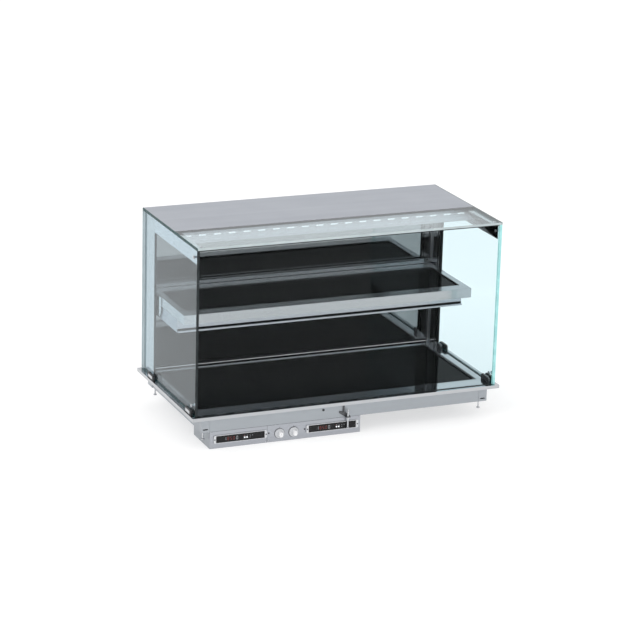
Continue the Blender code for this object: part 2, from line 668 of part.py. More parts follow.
def glass_clamps():
    """Two-jaw clamps that hold the side panes upright on the flange."""
    half = 0.029
    beside_post = POST_Y[0] - GAP
    inner_spans = {"front": (CLAMP_PINS[0] - half, CLAMP_PINS[0] + half),
                   "rear": (beside_post - 0.030, beside_post)}
    for (place, inner), pin_y in zip(inner_spans.items(), CLAMP_PINS):
        for name, sign in sides():
            clamp = prism(f"glass_clamp_{place}_{name}",
                          clamp_jaw((pin_y - half, pin_y + half), ROOM_FLOOR), 0,
                          (sign * (HALF_W + GAP), sign * (HALF_W + 0.008)), BLACK_PLASTIC)
            fuse(clamp, turned(clamp.name + "_pin", [(
                rod(0.0034, 0.0160), (sign * (HALF_W + 0.004), pin_y, CLAMP_PIN_Z),
                (-sign, 0, 0))], None, 16))
            fuse(clamp, prism(clamp.name + "_inner", clamp_jaw(inner, ROOM_FLOOR), 0,
                              (sign * PANE_IN, sign * (PANE_IN - 0.0067))))


# ---------------------------------------------------------------- mid shelf
def shelf_frame():
    """Rim folded from sheet, with a recess and a ledge for the shelf's hot plate."""
    outer = rect(SHELF_X, SHELF_Y)
    back = rect(SHELF_X, SHELF_Y, -THIN_SHEET)
    lip = rect(SHELF_X, SHELF_Y, -0.012)
    recess = rect(SHELF_OPEN_X, SHELF_OPEN_Y)
    recess_back = rect(SHELF_OPEN_X, SHELF_OPEN_Y, THIN_SHEET)
    ledge = rect(SHELF_OPEN_X, SHELF_OPEN_Y, -0.014)
    low, top = SHELF_Z
    floor = top - 0.0110
    folded_ring("shelf_frame", [
        (lip, low), (outer, low), (outer, top), (recess, top), (recess, floor), (ledge, floor),
        (ledge, floor - THIN_SHEET), (recess_back, floor - THIN_SHEET),
        (recess_back, top - THIN_SHEET), (back, top - THIN_SHEET), (back, low + THIN_SHEET),
        (lip, low + THIN_SHEET)], STEEL)


def shelf_plate_and_heater():
    floor = SHELF_Z[1] - 0.0110
    x = SHELF_OPEN_X - 0.001
    y = (SHELF_OPEN_Y[0] + 0.001, SHELF_OPEN_Y[1] - 0.001)
    plate = boxes("shelf_plate", [((-x, x), y, (floor + GAP, floor + GAP + PLATE_T))], BLACK_GLASS)
    bevel(plate, 0.0008)
    x = SHELF_OPEN_X - 0.016
    y = (SHELF_OPEN_Y[0] + 0.016, SHELF_OPEN_Y[1] - 0.016)
    boxes("shelf_heater", [((-x, x), y, (floor - 0.006, floor))], FOIL)


def shelf_tray():
    """Closed tray under the shelf, with a lip folded up in front of a shadow channel."""
    x = (-TRAY_X, TRAY_X)
    tray = boxes("shelf_tray", [(x, TRAY_Y, TRAY_Z)], STEEL)
    cut(tray, boxes("tray_room", [(
        (x[0] + THIN_SHEET, x[1] - THIN_SHEET), (TRAY_Y[0] + THIN_SHEET, TRAY_Y[1] - THIN_SHEET),
        (TRAY_Z[0] + THIN_SHEET, TRAY_Z[1] + 0.01))]))
    low = TRAY_Z[0]
    lip = [(TRAY_LIP_Y, low), (TRAY_Y[0] + 0.0006, low), (TRAY_Y[0] + 0.0006, low + THIN_SHEET),
           (TRAY_LIP_Y + THIN_SHEET, low + THIN_SHEET), (TRAY_LIP_Y + THIN_SHEET, low + 0.006),
           (TRAY_LIP_Y, low + 0.006)]
    fuse(tray, prism("tray_lip", lip, 0, x))


def shelf_brackets():
    """Upright plates beside the shelf, round at the lower front corner, hooked into the posts."""
    front, rear = BRACKET_Y
    low, top = BRACKET_Z
    radius = BRACKET_CORNER
    for name, sign in sides():
        outline = [(rear, low), (rear, top), (front, top), (front, low + radius)]
        for step in range(1, 7):
            angle = math.pi + (math.pi / 2) * step / 6
            outline.append((front + radius + radius * math.cos(angle),
                            low + radius + radius * math.sin(angle)))
        inner = SHELF_X + GAP
        plate = prism("shelf_bracket_" + name, outline, 0,
                      (sign * inner, sign * (inner + 0.003)), STEEL)
        slot = (POST_SLOT[0] + 0.001, POST_SLOT[1] - 0.001)
        hook = boxes(plate.name + "_hook", [(
            (sign * (inner + 0.002), sign * (PANE_IN - 0.0040)), slot, (low + 0.010, top - 0.010))])
        fuse(plate, hook)


# ---------------------------------------------------------------- rear: rail and two flaps
def mid_rail():
    """Channel between the posts, open downwards, behind the shelf."""
    x = PANE_IN - POST_T - GAP
    y0, y1 = RAIL_Y
    z0, z1 = RAIL_Z
    wall = 0.0020
    section = [(y0, z0), (y0 + wall, z0), (y0 + wall, z1 - wall), (y1 - wall, z1 - wall),
               (y1 - wall, z0), (y1, z0), (y1, z1), (y0, z1)]
    prism("mid_rail", section, 0, (-x, x), STEEL)


def flap(name, heights):
    """Mirrored flap hung from a profile along its top edge, with a finger pull behind."""
    low, high = heights
    front, rear = DOOR_Y
    seat = high - HINGE_RAIL_H
    roof = high - 0.0125
    boxes(name + "_door", [((-DOOR_X, DOOR_X), DOOR_Y, (low, roof - GAP))], MIRROR)
    wall = 0.0010
    rail = prism(name + "_door_hinge_rail", [
        (front - GAP - wall, seat), (front - GAP, seat), (front - GAP, roof), (rear + GAP, roof),
        (rear + GAP, seat), (rear + GAP + wall, seat), (rear + GAP + wall, high),
        (front - GAP - wall, high)], 0, (-DOOR_X, DOOR_X), SATIN)
    bores = [(rod(PIN_R + BORE_PLAY, 0.020),
              (sign * (DOOR_X - 0.014), (front + rear) / 2, high - PIN_DROP), (sign, 0, 0))
             for sign in (-1, 1)]
    cut(rail, turned(rail.name + "_bores", bores, None, 16))
    back = rear + GAP
    pull = [(back, low + 0.010), (back, low + 0.040), (back + 0.0018, low + 0.040),
            (back + 0.0018, low + 0.012), (back + 0.0100, low + 0.012), (back + 0.0100, low + 0.018),
            (back + 0.0120, low + 0.018), (back + 0.0120, low + 0.010)]
    prism(name + "_door_handle", pull, 0, (-0.100, 0.100), STEEL)


# ---------------------------------------------------------------- build
base_tray()
hot_plate()
plate_seal()
plate_heater_and_insulation()
casing_shell()
casing_front_panel()
clamp_screws()
front_clamp()
control_box()
control_panels()
for (controller_side, _), controller_x in zip(sides(), CONTROLLER_X):
    controller(controller_side, controller_x)
knobs()
cable_gland()
posts()
head_arms()
head_fascia()
head_floor()
head_reflector()
heater_element()
roof_cover()
panes()
top_connectors()
glass_clamps()
shelf_frame()
shelf_plate_and_heater()
shelf_tray()
shelf_brackets()
mid_rail()
flap("upper", UPPER_DOOR_Z)
flap("lower", LOWER_DOOR_Z)
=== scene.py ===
# %% [markdown]
# # Heated glass display case
# The case hangs by its flange in a counter: glass above, a shallow casing and a control box below.
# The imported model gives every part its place, so it is loaded first and never moved. All sizes are
# in metres, Z = 0 is the top of the counter, and +Y points to the staff side.

# %% Load the frame
import json
import math

import bpy
from mathutils import Matrix, Vector


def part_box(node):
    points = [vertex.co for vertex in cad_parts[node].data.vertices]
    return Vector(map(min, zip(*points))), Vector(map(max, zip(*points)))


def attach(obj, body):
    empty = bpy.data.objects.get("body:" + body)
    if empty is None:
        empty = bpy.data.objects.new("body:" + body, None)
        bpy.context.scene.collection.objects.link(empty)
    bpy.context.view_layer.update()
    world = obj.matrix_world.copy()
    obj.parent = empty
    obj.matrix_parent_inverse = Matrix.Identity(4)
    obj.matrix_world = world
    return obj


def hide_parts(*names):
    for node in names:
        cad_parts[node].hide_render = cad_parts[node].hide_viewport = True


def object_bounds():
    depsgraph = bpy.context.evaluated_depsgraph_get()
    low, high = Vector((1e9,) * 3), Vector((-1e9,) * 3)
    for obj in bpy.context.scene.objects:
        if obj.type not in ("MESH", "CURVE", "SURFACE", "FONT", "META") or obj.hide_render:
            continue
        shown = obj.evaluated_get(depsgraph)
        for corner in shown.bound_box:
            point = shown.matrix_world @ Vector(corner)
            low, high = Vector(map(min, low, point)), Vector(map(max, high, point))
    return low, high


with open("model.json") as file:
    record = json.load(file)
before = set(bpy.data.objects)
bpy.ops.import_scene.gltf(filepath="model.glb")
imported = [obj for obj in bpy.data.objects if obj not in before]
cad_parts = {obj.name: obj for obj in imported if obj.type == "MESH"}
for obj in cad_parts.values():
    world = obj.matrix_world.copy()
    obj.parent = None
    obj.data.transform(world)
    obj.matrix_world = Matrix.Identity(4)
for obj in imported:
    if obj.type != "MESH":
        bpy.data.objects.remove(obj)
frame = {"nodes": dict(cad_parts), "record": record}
cad_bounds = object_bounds()
body_of_node = {node: body for body, nodes in frame["record"]["behaviour"]["bodies"].items()
                for node in nodes}
print("case, in metres:", [round(high - low, 3) for low, high in zip(*cad_bounds)])

# %% [markdown]
# ## Working by hand, in code
# An operator acts on whatever is selected, so each step first clears the selection and then picks
# its faces by their place or normal. These few helpers stand for the mouse: one starts a block at
# its size and place, one picks faces, and one closes a piece and hands it to its body.


# %% Helpers for modelling
def put_down():
    """Leave edit mode and select nothing."""
    if bpy.context.object and bpy.context.object.mode != "OBJECT":
        bpy.ops.object.mode_set(mode="OBJECT")
    bpy.ops.object.select_all(action="DESELECT")


def take(piece):
    """Select one piece alone and make it active."""
    put_down()
    piece.select_set(True)
    bpy.context.view_layer.objects.active = piece


def pick_faces(piece, test):
    """Go into edit mode with just the faces whose centre and normal pass the test."""
    take(piece)
    bpy.ops.object.mode_set(mode="EDIT")
    bpy.ops.mesh.select_mode(type="FACE")
    bpy.ops.mesh.select_all(action="DESELECT")
    bpy.ops.object.mode_set(mode="OBJECT")
    for face in piece.data.polygons:
        face.select = test(face.center, face.normal)
    bpy.ops.object.mode_set(mode="EDIT")


def settle(piece):
    """Write the piece's place, turn and scale into its mesh."""
    take(piece)
    bpy.ops.object.transform_apply(location=True, rotation=True, scale=True)


def block(low, high):
    """A block between two corners, as a start."""
    put_down()
    centre = [(a + b) / 2 for a, b in zip(low, high)]
    size = [abs(b - a) for a, b in zip(low, high)]
    bpy.ops.mesh.primitive_cube_add(size=1.0, location=centre, scale=size)
    settle(bpy.context.object)
    return bpy.context.object


def drum(centre, radius, depth, along="Y", sides=24, end_radius=None):
    """A round or many-sided drum that starts at its centre point and runs along an axis."""
    put_down()
    turns = {"X": (0, math.pi / 2, 0), "Y": (-math.pi / 2, 0, 0), "Z": (0, 0, 0)}
    way = Vector([float(axis == along) for axis in "XYZ"])
    place = Vector(centre) + way * depth / 2
    bpy.ops.mesh.primitive_cone_add(
        vertices=sides, radius1=radius, radius2=radius if end_radius is None else end_radius,
        depth=abs(depth), location=place, rotation=turns[along])
    settle(bpy.context.object)
    return bpy.context.object


def soften(piece, width, segments=2, angle=30):
    """Round the sharp edges with a bevel and keep the flat faces flat."""
    take(piece)
    rounding = piece.modifiers.new("rounding", "BEVEL")
    rounding.width = width
    rounding.segments = segments
    rounding.limit_method = "ANGLE"
    rounding.angle_limit = math.radians(angle)
    bpy.ops.object.modifier_apply(modifier=rounding.name)
    bpy.ops.object.shade_smooth_by_angle(angle=math.radians(40))
    weigh = piece.modifiers.new("flat_faces", "WEIGHTED_NORMAL")
    weigh.keep_sharp = True
    bpy.ops.object.modifier_apply(modifier=weigh.name)


def bore(piece, cutter):
    """Cut one piece with another and throw the cutter away."""
    take(piece)
    cutting = piece.modifiers.new("bore", "BOOLEAN")
    cutting.operation = "DIFFERENCE"
    cutting.solver = "EXACT"
    cutting.object = cutter
    bpy.ops.object.modifier_apply(modifier=cutting.name)
    bpy.data.objects.remove(cutter, do_unlink=True)


def joined(pieces):
    """Make one mesh of several pieces."""
    take(pieces[0])
    for piece in pieces[1:]:
        piece.select_set(True)
    bpy.ops.object.join()
    return bpy.context.object


def copy_of(piece):
    """A copy with its own mesh."""
    take(piece)
    bpy.ops.object.duplicate()
    return bpy.context.object


def moved(piece, shift):
    """Move a piece and write its place into its mesh."""
    take(piece)
    bpy.ops.transform.translate(value=shift)
    settle(piece)
    return piece


def hand_over(piece, name, finish, body):
    """Name the piece, give it its finish and let it ride on its body."""
    put_down()
    piece.name = name
    piece.data.name = name
    if finish is not None:
        piece.data.materials.clear()
        piece.data.materials.append(finish)
    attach(piece, body)
    return piece


print("helpers are ready")

# %% [markdown]
# ## Finishes
# Every finish is one Principled shader whose colour, roughness and bump come from noise read in
# object coordinates, so a pattern stays on its piece. These helpers keep each recipe short.


# %% Helpers for finishes
def new_finish(name, **sockets):
    """A material with values set straight on the shader's sockets."""
    finish = bpy.data.materials.new(name)
    finish.use_nodes = True
    shader = finish.node_tree.nodes["Principled BSDF"]
    for socket, value in sockets.items():
        shader.inputs[socket.replace("_", " ")].default_value = value
    return finish, finish.node_tree, shader


def noise(tree, stretch, detail=2.0, rough=0.5):
    """Noise in object coordinates, with so many cells per metre along X, Y and Z."""
    where = tree.nodes.new("ShaderNodeTexCoord")
    mapping = tree.nodes.new("ShaderNodeMapping")
    mapping.inputs["Scale"].default_value = stretch
    pattern = tree.nodes.new("ShaderNodeTexNoise")
    pattern.inputs["Scale"].default_value = 1.0
    pattern.inputs["Detail"].default_value = detail
    pattern.inputs["Roughness"].default_value = rough
    tree.links.new(where.outputs["Object"], mapping.inputs["Vector"])
    tree.links.new(mapping.outputs["Vector"], pattern.inputs["Vector"])
    return pattern.outputs["Fac"]


def between(tree, pattern, low, high, start=0.3, stop=0.7):
    """Spread a pattern over a range of values."""
    spread = tree.nodes.new("ShaderNodeMapRange")
    spread.inputs["From Min"].default_value = start
    spread.inputs["From Max"].default_value = stop
    spread.inputs["To Min"].default_value = low
    spread.inputs["To Max"].default_value = high
    tree.links.new(pattern, spread.inputs["Value"])
    return spread.outputs["Result"]


def shades(tree, pattern, dark, light, start=0.3, stop=0.7):
    """Spread a pattern between two colours."""
    ramp = tree.nodes.new("ShaderNodeValToRGB")
    ramp.color_ramp.elements[0].position = start
    ramp.color_ramp.elements[0].color = (*dark, 1)
    ramp.color_ramp.elements[1].position = stop
    ramp.color_ramp.elements[1].color = (*light, 1)
    tree.links.new(pattern, ramp.inputs["Fac"])
    return ramp.outputs["Color"]


def relief(tree, shader, pattern, strength, depth):
    """Bump the surface with a pattern of the given depth in metres."""
    bump = tree.nodes.new("ShaderNodeBump")
    bump.inputs["Strength"].default_value = strength
    bump.inputs["Distance"].default_value = depth
    tree.links.new(pattern, bump.inputs["Height"])
    tree.links.new(bump.outputs["Normal"], shader.inputs["Normal"])


print("finish helpers are ready")

# %% [markdown]
# ## Brushed and satin steel
# Rolled stainless sheet is brushed along one direction: hair-thin scratches, slow bands from the
# belt, and soft smudges. Noise stretched along the brushing gives the scratches, wide noise gives
# the bands. The long parts are brushed along X, the uprights along Z and the head arms along Y.


# %% Steel finishes
def brushed_steel(name, along, dark, light, rough=(0.26, 0.36), grain=0.10):
    hair = [900.0, 900.0, 900.0]
    band = [26.0, 26.0, 26.0]
    for axis, letter in enumerate("XYZ"):
        if letter == along:
            hair[axis] = 7.0
            band[axis] = 0.9
    finish, tree, shader = new_finish(name, Metallic=1.0)
    hairs = noise(tree, hair, 3.0, 0.6)
    bands = noise(tree, band, 2.0)
    smudge = noise(tree, (7.0, 7.0, 7.0), 3.0)
    tree.links.new(shades(tree, bands, dark, light), shader.inputs["Base Color"])
    mixed = tree.nodes.new("ShaderNodeMath")
    mixed.operation = "ADD"
    tree.links.new(between(tree, hairs, *rough), mixed.inputs[0])
    tree.links.new(between(tree, smudge, -0.03, 0.04), mixed.inputs[1])
    tree.links.new(mixed.outputs[0], shader.inputs["Roughness"])
    relief(tree, shader, hairs, grain, 0.00005)
    return finish


STEEL_DARK = (0.400, 0.415, 0.450)
STEEL_LIGHT = (0.435, 0.450, 0.485)
steel_x = brushed_steel("steel_brushed_lengthways", "X", STEEL_DARK, STEEL_LIGHT)
roof_steel = brushed_steel("steel_brushed_roof", "X", (0.400, 0.420, 0.462), (0.425, 0.445, 0.487),
                           (0.34, 0.42))
rim_steel = brushed_steel("steel_polished_rim", "X", (0.46, 0.472, 0.49), (0.52, 0.532, 0.55),
                          (0.05, 0.10), 0.02)
steel_z = brushed_steel("steel_brushed_upright", "Z", (0.46, 0.475, 0.49), (0.54, 0.555, 0.57),
                        (0.04, 0.08), 0.02)
shelf_steel = brushed_steel("steel_shelf_rim", "X", (0.42, 0.43, 0.445), (0.47, 0.48, 0.495),
                            (0.15, 0.21), 0.03)
# A darker copy of the brushed steel for the mid rail: the lower tone is painted shade on its face.
rail_steel = brushed_steel("steel_rail_painted_shade", "X", (0.26, 0.27, 0.28), (0.32, 0.33, 0.34),
                           (0.06, 0.12), 0.02)
# A darker, rougher copy of the upright steel: the rougher finish is real, the lower tone is painted shade
# on the post faces set back behind the front.
post_recess_shade_steel = brushed_steel("steel_post_recess_painted_shade", "Z", (0.30, 0.31, 0.32), (0.36, 0.37, 0.38),
                          (0.30, 0.40))
# The head arms get a lighter tone than the other brushed steel: a painted highlight for the light they
# catch.
steel_y = brushed_steel("steel_brushed_crossways_painted_highlight", "Y", (0.56, 0.575, 0.60), (0.61, 0.625, 0.65),
                        (0.20, 0.30), 0.05)
satin_steel = brushed_steel("steel_satin_casing", "X", (0.355, 0.378, 0.402), (0.400, 0.424, 0.450),
                            (0.36, 0.46))
polished_steel = brushed_steel("steel_polished_reflector", "X", (0.70, 0.71, 0.72),
                               (0.78, 0.79, 0.80), (0.10, 0.18))
print("steel finishes:", [m.name for m in (steel_x, roof_steel, rim_steel, steel_z, shelf_steel,
                                           rail_steel, post_recess_shade_steel, steel_y, satin_steel,
                                           polished_steel)])

# %% [markdown]
# ## Glass
# Float glass is clear with a faint blue-green tint. A pane is thin and flat, so what stands behind
# it isn't bent, only tinted, and that is a Transparent shader. Its gloss grows towards a grazing
# view, by the fifth power of Layer Weight's Facing, so that share of a mirror-bright shader is mixed
# in. This also lets lamp rays pass and keeps the inside of the case free from grain. The front pane
# and the right pane carry an anti-reflection coat, so their share is smaller. A ground edge is not
# lit through the glass; its colour is painted: milky mint and pale grey edges carry a painted glow
# and highlight where light would leave them, dark green and smoky edges carry painted shade where
# they lie on a seal.


# %% Glass finishes
def clear_glass(name, tint, share):
    """A pane's face: tinted and open, with a share of the gloss that bare glass has."""
    finish, tree, shader = new_finish(name, Metallic=1.0)
    haze = noise(tree, (9.0, 9.0, 9.0), 4.0, 0.6)
    tree.links.new(shades(tree, haze, (0.93, 0.955, 0.97), (0.96, 0.985, 1.0)),
                   shader.inputs["Base Color"])
    tree.links.new(between(tree, haze, 0.0, 0.03), shader.inputs["Roughness"])
    relief(tree, shader, noise(tree, (3.0, 3.0, 3.0), 0.0), 0.04, 0.0002)
    view = tree.nodes.new("ShaderNodeLayerWeight")
    view.inputs["Blend"].default_value = 0.5
    grazing = tree.nodes.new("ShaderNodeMath")
    grazing.operation = "POWER"
    grazing.inputs[1].default_value = 5.0
    tree.links.new(view.outputs["Facing"], grazing.inputs[0])
    gloss = between(tree, grazing.outputs[0], 0.04 * share, share, 0.0, 1.0)
    open_way = tree.nodes.new("ShaderNodeBsdfTransparent")
    open_way.inputs["Color"].default_value = (*tint, 1)
    chooser = tree.nodes.new("ShaderNodeMixShader")
    tree.links.new(gloss, chooser.inputs[0])
    tree.links.new(open_way.outputs[0], chooser.inputs[1])
    tree.links.new(shader.outputs[0], chooser.inputs[2])
    tree.links.new(chooser.outputs[0], tree.nodes["Material Output"].inputs["Surface"])
    return finish


pane_glass = clear_glass("glass_clear_top", (0.940, 0.988, 0.992), 1.0)
left_pane_glass = clear_glass("glass_clear_left", (0.925, 0.974, 0.994), 0.62)
right_pane_glass = clear_glass("glass_clear_right", (0.902, 0.970, 0.988), 0.22)
coated_glass = clear_glass("glass_coated_front", (0.972, 0.988, 0.989), 0.06)


def ground_edge(name, dark, light, glow=0.0, gloss=0.12):
    """A ground glass edge: streaky painted colour, a matt, slightly rough face, and a painted glow from
    emission where glow is given.
    """
    finish, tree, shader = new_finish(name, IOR=1.5, Emission_Strength=glow,
                                      Specular_IOR_Level=gloss)
    streaks = noise(tree, (25.0, 25.0, 25.0), 2.0)
    colour = shades(tree, streaks, dark, light)
    tree.links.new(colour, shader.inputs["Base Color"])
    tree.links.new(colour, shader.inputs["Emission Color"])
    tree.links.new(between(tree, streaks, 0.20, 0.34), shader.inputs["Roughness"])
    relief(tree, shader, noise(tree, (400.0, 400.0, 400.0)), 0.2, 0.0001)
    return finish


# The edge colours paint the light through the glass: the milky and pale edges glow as a painted
# highlight, the dark green and smoky ones are painted shade.
edge_mint_painted_glow = ground_edge("glass_edge_milky_painted_glow", (0.25, 0.54, 0.54), (0.34, 0.66, 0.65), 0.20, 0.4)
edge_pale_painted_glow = ground_edge("glass_edge_pale_painted_glow", (0.40, 0.46, 0.47), (0.48, 0.54, 0.55), 0.10)
edge_green_painted_shade = ground_edge("glass_edge_green_painted_shade", (0.008, 0.042, 0.044), (0.016, 0.068, 0.070))
edge_smoky_painted_shade = ground_edge("glass_edge_smoky_painted_shade", (0.022, 0.026, 0.028), (0.034, 0.040, 0.042))
print("glass finishes:", [m.name for m in (pane_glass, left_pane_glass, right_pane_glass, coated_glass,
                                           edge_mint_painted_glow, edge_pale_painted_glow, edge_green_painted_shade, edge_smoky_painted_shade)])

# %% [markdown]
# ## Black hot plates and grey mirrors
# A hot plate is glass-ceramic: nearly black, glossy, with a hint of fine speckle and wiped
# smudges. The rear flaps are grey mirror glass: a metal shader with a dim colour and almost no
# roughness, painted matt on the staff side.

# %% Plate and mirror finishes
hot_plate_black, tree, shader = new_finish("glass_ceramic_black", IOR=1.07)
speckle = noise(tree, (1400.0, 1400.0, 1400.0), 1.0)
wiped = noise(tree, (5.0, 11.0, 5.0), 4.0, 0.6)
tree.links.new(shades(tree, speckle, (0.0025, 0.003, 0.003), (0.006, 0.0065, 0.0065), 0.45, 0.75),
               shader.inputs["Base Color"])
tree.links.new(between(tree, wiped, 0.03, 0.09), shader.inputs["Roughness"])
relief(tree, shader, noise(tree, (3.0, 3.0, 3.0)), 0.05, 0.0003)

grey_mirror, tree, shader = new_finish("mirror_grey", Metallic=1.0)
dust = noise(tree, (14.0, 14.0, 14.0), 4.0, 0.6)
tree.links.new(shades(tree, dust, (0.232, 0.241, 0.246), (0.268, 0.277, 0.282)),
               shader.inputs["Base Color"])
tree.links.new(between(tree, dust, 0.015, 0.05), shader.inputs["Roughness"])

mirror_back, tree, shader = new_finish("mirror_back_paint")
paint = noise(tree, (260.0, 260.0, 260.0), 3.0)
tree.links.new(shades(tree, paint, (0.10, 0.105, 0.11), (0.14, 0.145, 0.15)),
               shader.inputs["Base Color"])
tree.links.new(between(tree, paint, 0.45, 0.62), shader.inputs["Roughness"])
relief(tree, shader, paint, 0.25, 0.0001)
print("plate and mirror finishes:", hot_plate_black.name, grey_mirror.name, mirror_back.name)

# %% [markdown]
# ## Small finishes
# Bolts are zinc-plated with a mottled spangle, knobs and cases are moulded plastic with a fine
# spark-eroded grain, the seals are silicone, and the hidden heaters are foil, board and quartz.
# They share one recipe: a grain for the bump, a slower noise for colour and gloss.


# %% Plastic, zinc, rubber and heater finishes
def grained(name, dark, light, rough, grain, depth, **sockets):
    finish, tree, shader = new_finish(name, **sockets)
    slow = noise(tree, (grain / 12,) * 3, 3.0)
    tree.links.new(shades(tree, slow, dark, light), shader.inputs["Base Color"])
    tree.links.new(between(tree, slow, *rough), shader.inputs["Roughness"])
    relief(tree, shader, noise(tree, (grain,) * 3, 2.0), 0.3, depth)
    return finish


zinc = grained("zinc_plated", (0.50, 0.51, 0.53), (0.66, 0.67, 0.69), (0.22, 0.38), 1800.0,
               0.00003, Metallic=1.0)
dark_steel = grained("steel_blackened", (0.085, 0.087, 0.092), (0.150, 0.153, 0.160),
                     (0.35, 0.55), 1500.0, 0.00004, Metallic=0.8)
jaw_grey = grained("jaw_grey_metal", (0.10, 0.105, 0.11), (0.16, 0.165, 0.17), (0.30, 0.45),
                   1500.0, 0.00004, Metallic=0.8)
black_plastic = grained("plastic_black", (0.016, 0.017, 0.019), (0.028, 0.029, 0.031),
                        (0.38, 0.52), 2400.0, 0.00004)
grey_plastic = grained("plastic_light_grey", (0.58, 0.59, 0.61), (0.66, 0.67, 0.69),
                       (0.36, 0.48), 2400.0, 0.00004)
skirt_grey = grained("plastic_skirt_grey", (0.50, 0.51, 0.53), (0.56, 0.57, 0.59),
                     (0.34, 0.46), 2400.0, 0.00003)
white_plastic = grained("plastic_white", (0.82, 0.82, 0.83), (0.90, 0.90, 0.90),
                        (0.28, 0.40), 2400.0, 0.00003)
silicone = grained("silicone_black", (0.010, 0.010, 0.011), (0.018, 0.018, 0.019),
                   (0.55, 0.75), 900.0, 0.00005, Specular_IOR_Level=0.12)
display_black = grained("display_window", (0.004, 0.004, 0.005), (0.007, 0.007, 0.008),
                        (0.05, 0.12), 300.0, 0.00001, Specular_IOR_Level=0.3)
heater_foil = grained("heater_foil_amber", (0.42, 0.17, 0.04), (0.62, 0.28, 0.08),
                      (0.28, 0.45), 700.0, 0.00006, Metallic=0.4)
board = grained("insulation_board", (0.62, 0.58, 0.48), (0.78, 0.74, 0.64), (0.85, 0.95),
                500.0, 0.0004)
quartz = grained("quartz_and_ceramic", (0.74, 0.69, 0.62), (0.86, 0.82, 0.76), (0.15, 0.35),
                 900.0, 0.00005)
ink = grained("printed_ink", (0.02, 0.02, 0.022), (0.05, 0.05, 0.055), (0.5, 0.7), 2000.0,
              0.00001)
print("small finishes:", len(bpy.data.materials), "materials in all")


# %% [markdown]
# ## Lit parts and a painted glow
# The number on a controller is lit red and the key caps are lit white. The white glow of the
# slots of the head is painted light that stands in for the bright light seen through them. A
# little emission is added to a plain surface, and noise makes it uneven, as a diffuser is.


# %% Lit finishes
def lit(name, surface, glow, strength):
    finish, tree, shader = new_finish(name, Roughness=0.4, Emission_Strength=strength)
    uneven = noise(tree, (300.0, 300.0, 300.0), 2.0)
    tree.links.new(shades(tree, uneven, surface, [min(1.0, c * 1.15) for c in surface]),
                   shader.inputs["Base Color"])
    tree.links.new(shades(tree, uneven, [c * 0.8 for c in glow], glow),
                   shader.inputs["Emission Color"])
    return finish


lit_red = lit("lamp_red", (0.10, 0.016, 0.014), (0.60, 0.09, 0.07), 0.11)
lit_white = lit("lamp_white", (0.75, 0.76, 0.78), (0.90, 0.92, 0.95), 0.45)
# The white glow of the slots is painted light, not a lamp.
painted_glow_slot = lit("slots_painted_glow", (0.80, 0.82, 0.84), (0.92, 0.95, 1.0), 0.55)
dim_white = lit("mark_pale", (0.30, 0.31, 0.33), (0.4, 0.4, 0.42), 0.15)
print("lit finishes:", lit_red.name, lit_white.name, painted_glow_slot.name, dim_white.name)


# %% [markdown]
# ## Sheet metal and moulded parts
# On the real case each sheet part is folded with a small radius and each moulding has rounded
# edges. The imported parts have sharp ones, so each is copied, its loose triangles are merged, the
# flat ones dissolved into whole faces, and a narrow bevel is applied: an edge only catches light
# when it is round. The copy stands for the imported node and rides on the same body.


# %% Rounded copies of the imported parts
def finished_copy(node, finish, rounding=0.0004, segments=2, name=None):
    source = frame["nodes"][node]
    take(source)
    bpy.ops.object.duplicate()
    piece = bpy.context.object
    piece.parent = None
    for key in [k for k in piece.keys() if k.startswith("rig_")]:
        del piece[key]
    bpy.ops.object.mode_set(mode="EDIT")
    bpy.ops.mesh.select_all(action="SELECT")
    bpy.ops.mesh.remove_doubles(threshold=0.000005)
    bpy.ops.mesh.dissolve_limited(angle_limit=math.radians(0.5))
    bpy.ops.object.mode_set(mode="OBJECT")
    if piece.data.has_custom_normals:
        bpy.ops.mesh.customdata_custom_splitnormals_clear()
    if rounding:
        soften(piece, rounding, segments)
        low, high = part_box(node)
        for vertex in piece.data.vertices:
            vertex.co = [min(max(value, low[i]), high[i]) for i, value in enumerate(vertex.co)]
    else:
        bpy.ops.object.shade_smooth_by_angle(angle=math.radians(35))
    hand_over(piece, name or node + "_finished", finish, body_of_node[node])
    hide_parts(node)
    return piece


